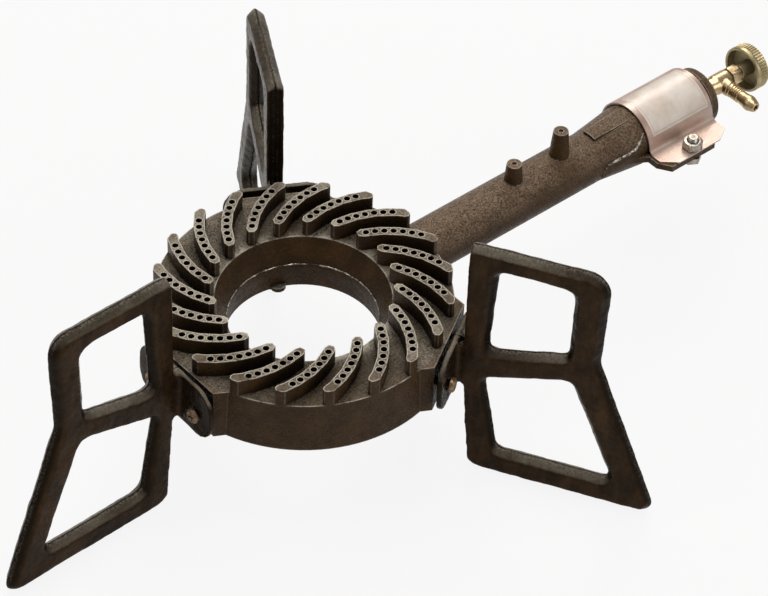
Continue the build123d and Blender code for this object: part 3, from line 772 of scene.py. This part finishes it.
# ------------------------------------------------------------- screws, bolt, nut
SCREW_LENGTH = 17.2
SCREW_HEAD = 5.2
SCREW_HEAD_HEIGHT = 3.4
SCREW_DOME = 2.0
SCREW_SHANK = 3.0
SCREW_PITCH = 1.0
SCREW_THREAD_DEPTH = 0.45
SCREW_SIDES = 32
CROSS_TURN = 0.35  # radians
CROSS_SIZE = (4.4, 6.2, 1.7)


def leg_screw(name, material):
    """A domed cross-recessed screw that points out along its leg's direction."""
    low, high = corners_of(name)
    heading = math.radians(LEG_HEADINGS[name.rsplit("_screw", 1)[0]])
    outward = Vector((math.cos(heading), math.sin(heading), 0.0))
    inner_end = (low + high) / 2 - outward * (SCREW_LENGTH / 2) * MM
    place = Matrix.Translation(inner_end) @ Matrix.Rotation(heading, 4, "Z")
    head = SCREW_LENGTH - SCREW_HEAD_HEIGHT
    profile = [(0, 0), (0, SCREW_SHANK - 0.5)]
    profile += thread_profile(0.4, head - 0.6, SCREW_SHANK, SCREW_PITCH, SCREW_THREAD_DEPTH)
    profile += [(head, SCREW_SHANK), (head, SCREW_HEAD - 0.2), (head + 0.3, SCREW_HEAD)]
    dome_at = head + SCREW_HEAD_HEIGHT - SCREW_DOME
    profile += arc_profile(dome_at, SCREW_HEAD - SCREW_DOME, SCREW_DOME, 90, 12, 5)
    profile += [(SCREW_LENGTH - 0.25, 2.6), (SCREW_LENGTH - 0.1, 1.4), (SCREW_LENGTH - 0.1, 0)]
    piece = turned(name + "_detailed", profile, SCREW_SIDES, place)
    cross = bmesh.new()
    top = place @ Matrix.Translation((SCREW_LENGTH * MM, 0, 0))
    for turn in (CROSS_TURN, CROSS_TURN + math.pi / 2):
        add_box(cross, top @ Matrix.Rotation(turn, 4, "X"), CROSS_SIZE)
    cut_away(piece, name + "_cross", cross, crossing=True)
    dress(piece, "burner", "screw", material, name)


NUT_FLATS = 13.0
NUT_HEIGHT = 6.5
NUT_CORNER = hexagon_corner(NUT_FLATS)
NUT_SIDES = 72
BOLT_RADIUS = 4.0
BOLT_HEAD_HEIGHT = 5.3
BOLT_PITCH = 1.25
BOLT_THREAD_DEPTH = 0.6
BOLT_GAP = 0.02


def shutter_fasteners(material):
    """The nut with its rounded corners and the bolt whose thread stands out above it."""
    low, high = corners_of("shutter_nut")
    spot = Vector(((low.x + high.x) / 2, (low.y + high.y) / 2, low.z))
    form = hexagon_form(NUT_FLATS)
    profile = [(0, BOLT_RADIUS), (0, 6.4), (0.5, NUT_CORNER), (NUT_HEIGHT - 1.0, NUT_CORNER)]
    profile += [(NUT_HEIGHT - 0.3, 6.5), (NUT_HEIGHT, 5.8), (NUT_HEIGHT, 4.5)]
    profile += [(NUT_HEIGHT - 0.5, BOLT_RADIUS)]
    nut = turned("shutter_nut_detailed", profile, NUT_SIDES, upright_frame(spot), form)
    dress(nut, "shutter", "zinc", material, "shutter_nut")

    low, high = corners_of("shutter_bolt")
    length = (high.z - low.z) / MM
    thread = BOLT_RADIUS - BOLT_GAP
    profile = [(0, 0), (0, 5.8), (0.7, NUT_CORNER), (BOLT_HEAD_HEIGHT, NUT_CORNER)]
    profile += [(BOLT_HEAD_HEIGHT, thread), (length - 5.6, thread)]
    profile += thread_profile(length - 5.5, length - 0.5, thread, BOLT_PITCH, BOLT_THREAD_DEPTH)
    profile += [(length, BOLT_RADIUS - 0.9), (length, 0)]
    place = upright_frame(Vector((spot.x, spot.y, low.z)))
    bolt = turned("shutter_bolt_detailed", profile, NUT_SIDES, place, form)
    dress(bolt, "shutter", "zinc", material, "shutter_bolt")


# ------------------------------------------------------------------- the valve
TO_THE_RIGHT = -math.pi / 2  # the hose tail leaves the body towards -Y
VALVE_VOXEL = 0.4 * MM
VALVE_SMOOTHING = 4
VALVE_SIDES = 64
BODY_END = 393.0
BODY_RADIUS = 7.4
SHANK_RADIUS = 5.8
GLAND_THREAD = 5.9
GLAND_THREAD_END = 397.7
TAIL_AT = 386.1
TAIL_END = 36.0
TAIL_BORE = 2.1
TAIL_RINGS = 4
TAIL_RING_PITCH = 1.9
GLAND_FLATS = 14.0
GLAND_TURN = math.radians(8)
GLAND_START = 393.4
GLAND_END = 402.0
GLAND_FLOOR = 398.2
STEM_RADIUS = 2.5
STEM_GAP = 0.05
STEM_BORE = STEM_RADIUS + STEM_GAP
TURNED_SIDES = 48


def valve_body(material):
    """The forged body: shank, neck that swells into the chamber, side boss and thread."""
    built = bmesh.new()
    profile = [(SHANK_START, 0), (SHANK_START, SHANK_RADIUS), (374.0, SHANK_RADIUS)]
    profile += [(376.5, SHANK_RADIUS + 0.5), (379.0, BODY_RADIUS - 0.3), (380.0, BODY_RADIUS)]
    profile += [(BODY_END - 1.5, BODY_RADIUS), (BODY_END, BODY_RADIUS - 0.9)]
    profile += [(BODY_END, GLAND_THREAD), (GLAND_THREAD_END, GLAND_THREAD), (GLAND_THREAD_END, 0)]
    spun(built, profile, VALVE_SIDES, tube_frame())
    boss = [(0, 0), (0, 6.4), (8.6, 6.1), (9.9, 6.0), (10.5, 5.4), (10.5, 0)]
    spun(built, boss, TURNED_SIDES, tube_frame(TAIL_AT, TO_THE_RIGHT))
    piece = finish_mesh("valve_body_forged", built)
    add_remesh(piece, VALVE_VOXEL, VALVE_SMOOTHING)
    smooth_shading(with_modifiers(piece))
    dress(piece, "burner", "brass", material, "valve_body")


def hose_tail(material):
    """The hose tail: collar, grip rings, smooth shank, bulge and tapered open tip."""
    profile = [(6.0, TAIL_BORE), (6.0, 3.5), (10.5, 3.5), (10.5, 5.2)]
    profile += [(10.8, 5.4), (12.2, 5.4), (12.5, 5.1)]
    for i in range(TAIL_RINGS):
        root = 12.8 + i * TAIL_RING_PITCH
        profile += [(root, 4.35), (root + 0.3, 4.35), (root + 0.9, 5.15), (root + 1.5, 5.15)]
        profile += [(root + 1.8, 4.5)]
    profile += [(20.6, 4.6), (21.6, 4.75), (24.5, 4.9), (26.5, 5.2), (28.0, 5.6), (30.5, 5.6)]
    profile += [(31.2, 5.35), (33.0, 4.75), (35.0, 4.0), (35.7, 3.6)]
    profile += [(TAIL_END, 3.1), (TAIL_END, 2.4), (35.6, TAIL_BORE)]
    piece = turned("hose_tail_turned", profile, TURNED_SIDES, tube_frame(TAIL_AT, TO_THE_RIGHT))
    dress(piece, "burner", "brass", material, "hose_tail")


def gland_nut(material):
    """The gland nut, chamfered where the spanner goes on."""
    corner = hexagon_corner(GLAND_FLATS)
    profile = [(GLAND_START, 6.0), (GLAND_START, 7.4), (GLAND_START + 0.5, corner)]
    profile += [(GLAND_END - 1.3, corner), (GLAND_END - 0.4, 7.1), (GLAND_END, 6.4)]
    profile += [(GLAND_END, 3.0), (GLAND_END - 0.4, STEM_BORE)]
    profile += [(GLAND_FLOOR, STEM_BORE), (GLAND_FLOOR, 6.0)]
    form = hexagon_form(GLAND_FLATS, GLAND_TURN)
    piece = turned("gland_nut_chamfered", profile, NUT_SIDES, tube_frame(), form)
    dress(piece, "burner", "brass", material, "gland_nut")


KNOB_BACK = 407.4
KNOB_FRONT = 418.4
KNOB_RADIUS = 17.4
KNOB_CUP = 15.2  # radius of the hollow in its back
CUP_FLOOR = KNOB_FRONT - 3.0
HUB_BACK = 404.0
HUB_RADIUS = 5.5
RIM_ROLL = 1.1
KNURL_START = 411.2
KNURL_END = 417.4
KNURL_TEETH = 52
KNURL_DEPTH = 0.75
KNURL_SHARPNESS = 0.7
KNOB_SCREW_BORE = 1.5
KNOB_SCREW_SIDES = 40
GROOVE_TURN = 0.4  # radians
GROOVE_SIZE = (1.2, 9.0, 0.9)


def knurl_form(turn, along, radius):
    """Straight teeth round the knob's grip."""
    if not KNURL_START < along < KNURL_END or radius < KNOB_RADIUS - 0.1:
        return radius
    wave = (1 + math.cos(turn * KNURL_TEETH)) / 2
    return radius - KNURL_DEPTH * (1 - wave) ** KNURL_SHARPNESS


def knob(material):
    """The hollow-backed knob: rolled rim, straight knurl, hub and recessed face."""
    profile = [(HUB_BACK, STEM_BORE), (HUB_BACK, HUB_RADIUS - 0.5), (HUB_BACK + 0.5, HUB_RADIUS)]
    profile += [(CUP_FLOOR - 1.0, HUB_RADIUS), (CUP_FLOOR - 0.3, HUB_RADIUS + 0.4)]
    profile += [(CUP_FLOOR, HUB_RADIUS + 1.2), (CUP_FLOOR, KNOB_CUP - 1.2)]
    profile += [(CUP_FLOOR - 0.4, KNOB_CUP - 0.3), (CUP_FLOOR - 1.2, KNOB_CUP)]
    profile += [(KNOB_BACK + 1.4, KNOB_CUP)]
    profile += arc_profile(KNOB_BACK + RIM_ROLL, KNOB_CUP + RIM_ROLL, RIM_ROLL, 270, 90, 8)
    profile[-1] = (KNOB_BACK + RIM_ROLL, KNOB_RADIUS - 0.12)
    profile += [(KNOB_BACK + 1.6, KNOB_RADIUS), (KNURL_START - 0.6, KNOB_RADIUS)]
    profile += [(KNURL_START - 0.2, KNOB_RADIUS - 0.4), (KNURL_START + 0.1, KNOB_RADIUS)]
    profile += [(KNURL_END - 0.1, KNOB_RADIUS), (KNURL_END + 0.3, KNOB_RADIUS - 0.5)]
    profile += [(KNOB_FRONT - 0.2, KNOB_RADIUS - 1.2), (KNOB_FRONT, KNOB_RADIUS - 2.0)]
    profile += [(KNOB_FRONT, 12.6), (KNOB_FRONT - 0.5, 12.0), (KNOB_FRONT - 0.5, 5.6)]
    profile += [(KNOB_FRONT, 5.0), (KNOB_FRONT, KNOB_SCREW_BORE)]
    profile += [(KNOB_FRONT - 3.4, KNOB_SCREW_BORE), (KNOB_FRONT - 3.5, STEM_BORE)]
    piece = turned("knob_knurled", profile, KNURL_TEETH * 6, tube_frame(), knurl_form)
    dress(piece, "knob", "knob_brass", material, "knob")


def knob_screw(material):
    """The knob's slotted centre screw."""
    start = KNOB_FRONT - 7.0
    top = KNOB_FRONT + 1.0
    profile = [(start, 0), (start, 1.2), (start + 0.3, 1.45), (KNOB_FRONT, 1.45)]
    profile += [(KNOB_FRONT, 3.4), (KNOB_FRONT + 0.4, 3.6), (KNOB_FRONT + 0.8, 3.2)]
    profile += [(top, 2.2), (top, 0)]
    piece = turned("knob_screw_slotted", profile, KNOB_SCREW_SIDES, tube_frame())
    groove = bmesh.new()
    add_box(groove, tube_frame(top) @ Matrix.Rotation(GROOVE_TURN, 4, "X"), GROOVE_SIZE)
    cut_away(piece, "groove", groove)
    dress(piece, "knob", "zinc", material, "knob_screw")


# --------------------------------------------------------------- casting flash
TUBE_RADIUS = 18.7
BELL_RADIUS = 23.0
FLARE_START = 255.0
BELL_START = 291.7

BEAD_SIDES = 8
BEAD_END = 0.25  # how thick an open bead's ends are
BEAD_TAPER = 1.5
BEAD_WAVES = (1.9, 0.83)  # two ripples' turn from one point to the next

# The lip beside the bell: mm along the tube and degrees from the far side over the top.
LIP = ((254.5, 180), (258, 169), (266, 166), (276, 164), (282, 161), (286.5, 151), (291, 140))
LIP_STEPS = 48
SEAM_RADIUS = 50.55
SEAM_HEIGHT = 96.3
SEAM_RIPPLE = 0.15
SEAM_STEPS = 240
BOSSES = {"first": 184.6, "second": 227.0}
RIM_REACH = 6.5
RIM_TURNS = (195, 275)  # degrees round the boss
RIM_STEPS = 24


def bead(name, points, thickness, ragged, material, closed=False):
    """A low, uneven bead along a path of points."""
    built = bmesh.new()
    rings = []
    count = len(points)
    for i, point in enumerate(points):
        ahead = points[(i + 1) % count] if closed or i < count - 1 else point
        behind = points[i - 1] if closed or i else point
        run = (ahead - behind).normalized()
        side = run.orthogonal().normalized()
        over = run.cross(side)
        wave = math.sin(i * BEAD_WAVES[0]) * 0.5 + math.sin(i * BEAD_WAVES[1] + 1.0) * 0.5
        size = thickness * (1 + ragged * wave)
        if not closed:
            size *= min(1.0, BEAD_END + BEAD_TAPER * min(i, count - 1 - i) / count * 2)
        ring = []
        for j in range(BEAD_SIDES):
            turn = math.tau * j / BEAD_SIDES
            spoke = side * math.cos(turn) + over * math.sin(turn)
            ring.append(built.verts.new(point + spoke * size))
        rings.append(ring)
    pairs = list(zip(rings, rings[1:]))
    if closed:
        pairs.append((rings[-1], rings[0]))
    for ring, following in pairs:
        for j in range(BEAD_SIDES):
            k = (j + 1) % BEAD_SIDES
            built.faces.new((ring[j], ring[k], following[k], following[j]))
    if not closed:
        built.faces.new(reversed(rings[0]))
        built.faces.new(rings[-1])
    dress(finish_mesh(name, built), "burner", "cast_iron", material)


def on_tube(along, turn, radius):
    """A point on the tube, by mm along it, degrees from the far side over the top, and radius."""
    angle = math.radians(turn)
    lift = Vector((0.0, radius * math.cos(angle), radius * math.sin(angle))) * MM
    return tube_frame(along).translation + lift


def tube_radius_at(along):
    """The outside radius of the tube and its flare."""
    share = min(max((along - FLARE_START) / (BELL_START - FLARE_START), 0.0), 1.0)
    return TUBE_RADIUS + (BELL_RADIUS - TUBE_RADIUS) * share


def part_way(stops, share):
    """The values part of the way along a row of stops."""
    place = share * (len(stops) - 1)
    first = min(int(place), len(stops) - 2)
    part = place - first
    return tuple(a + (b - a) * part for a, b in zip(stops[first], stops[first + 1]))


def bell_lip(material):
    """The bright lip beside the bell."""
    path = []
    for i in range(LIP_STEPS + 1):
        along, turn = part_way(LIP, i / LIP_STEPS)
        path.append(on_tube(along, turn, tube_radius_at(along) + 0.1))
    bead("bell_lip", path, 0.9 * MM, 0.45, material)


def ring_seam(material):
    """The seam round the inside of the ring."""
    path = []
    for i in range(SEAM_STEPS):
        turn = math.tau * i / SEAM_STEPS
        reach = SEAM_RADIUS * MM
        height = SEAM_HEIGHT * MM + SEAM_RIPPLE * MM * math.sin(i * 0.7)
        path.append(RING_CENTRE + Vector((reach * math.cos(turn), reach * math.sin(turn), height)))
    bead("ring_seam", path, 0.42 * MM, 0.5, material, closed=True)


def boss_rims(material):
    """The rim under each boss, on the side towards the ring."""
    start, end = RIM_TURNS
    for name, along in BOSSES.items():
        path = []
        for i in range(RIM_STEPS + 1):
            turn = math.radians(start + (end - start) * i / RIM_STEPS)
            x = along + RIM_REACH * math.cos(turn)
            y = RIM_REACH * math.sin(turn)
            z = math.sqrt(TUBE_RADIUS**2 - y**2)
            path.append(tube_frame(x).translation + Vector((0.0, y, z)) * MM)
        bead(f"{name}_boss_rim", path, 0.5 * MM, 0.5, material)


# ------------------------------------------------------------------- the label
LABEL_START = 296.5
LABEL_END = 350.0
LABEL_LOW = 153.0  # degrees from the far side over the top
LABEL_HIGH = 62.0
LABEL_RADIUS = 25.2
LABEL_THICKNESS = 0.14
LABEL_SINK = 0.05
LABEL_STEPS_ALONG = 60
LABEL_STEPS_ROUND = 72
STEP_RATIO = 1.8  # steps round the label for the width of one step along it
BORDER = (1.4, 2.6)  # where the border runs, in steps from the edge


def blank_label(material):
    """The blank label on the shutter, as a thin curved plate."""
    built = bmesh.new()
    border = built.verts.layers.float.new("border")
    skins = []
    for radius in (LABEL_RADIUS + LABEL_THICKNESS, LABEL_RADIUS - LABEL_SINK):
        grid = []
        for i in range(LABEL_STEPS_ALONG + 1):
            row = []
            for j in range(LABEL_STEPS_ROUND + 1):
                along = LABEL_START + (LABEL_END - LABEL_START) * i / LABEL_STEPS_ALONG
                turn = LABEL_LOW + (LABEL_HIGH - LABEL_LOW) * j / LABEL_STEPS_ROUND
                vertex = built.verts.new(on_tube(along, turn, radius))
                from_end = min(i, LABEL_STEPS_ALONG - i)
                from_side = min(j / STEP_RATIO, (LABEL_STEPS_ROUND - j) / STEP_RATIO)
                vertex[border] = 1.0 if BORDER[0] < min(from_end, from_side) < BORDER[1] else 0.0
                row.append(vertex)
            grid.append(row)
        skins.append(grid)
        for i in range(LABEL_STEPS_ALONG):
            for j in range(LABEL_STEPS_ROUND):
                built.faces.new((grid[i][j], grid[i + 1][j], grid[i + 1][j + 1], grid[i][j + 1]))
    outer, inner = skins
    for i in range(LABEL_STEPS_ALONG):
        for j in (0, LABEL_STEPS_ROUND):
            built.faces.new((outer[i][j], outer[i + 1][j], inner[i + 1][j], inner[i][j]))
    for j in range(LABEL_STEPS_ROUND):
        for i in (0, LABEL_STEPS_ALONG):
            built.faces.new((outer[i][j], outer[i][j + 1], inner[i][j + 1], inner[i][j]))
    dress(finish_mesh("blank_label", built), "shutter", "sheet", material)


# ---------------------------------------------------------------- put together
make_camera()
make_world()
make_floor()
for lamp in LAMPS:
    make_lamp(*lamp)

leg_paint = leg_iron()
flash = flash_material()
brass = brass_material("valve_brass", (0.76, 0.59, 0.35), (0.50, 0.35, 0.19), 0.26, 0.006)
knob_brass = brass_material("knob_brass", (0.56, 0.47, 0.28), (0.38, 0.31, 0.17), 0.34, 0.014)
zinc = steel_material("zinc_plate", (0.56, 0.51, 0.45), (0.30, 0.26, 0.21), 1.0)
rusty = steel_material("rusty_screw", (0.44, 0.30, 0.18), (0.17, 0.10, 0.055), 0.6)

# Nodes that keep the solid's own shape.
plain_nodes = {"air_shutter": sheet_material(), "injector_jet": brass, "valve_stem": brass}
plain_nodes["gland_packing"] = packing_material()
for name, material in plain_nodes.items():
    for slot in nodes[name].material_slots:
        slot.material = material

burner_casting(ring_iron())
for leg_name in LEG_HEADINGS:
    cast_leg(leg_name, leg_paint)
    for number in (1, 2):
        leg_screw(f"{leg_name}_screw_{number}", rusty)
shutter_fasteners(zinc)
knob(knob_brass)
knob_screw(zinc)
valve_body(brass)
hose_tail(brass)
gland_nut(brass)
bell_lip(flash)
ring_seam(flash)
boss_rims(flash)
blank_label(label_material())

bpy.context.scene.view_settings.view_transform = "Standard"
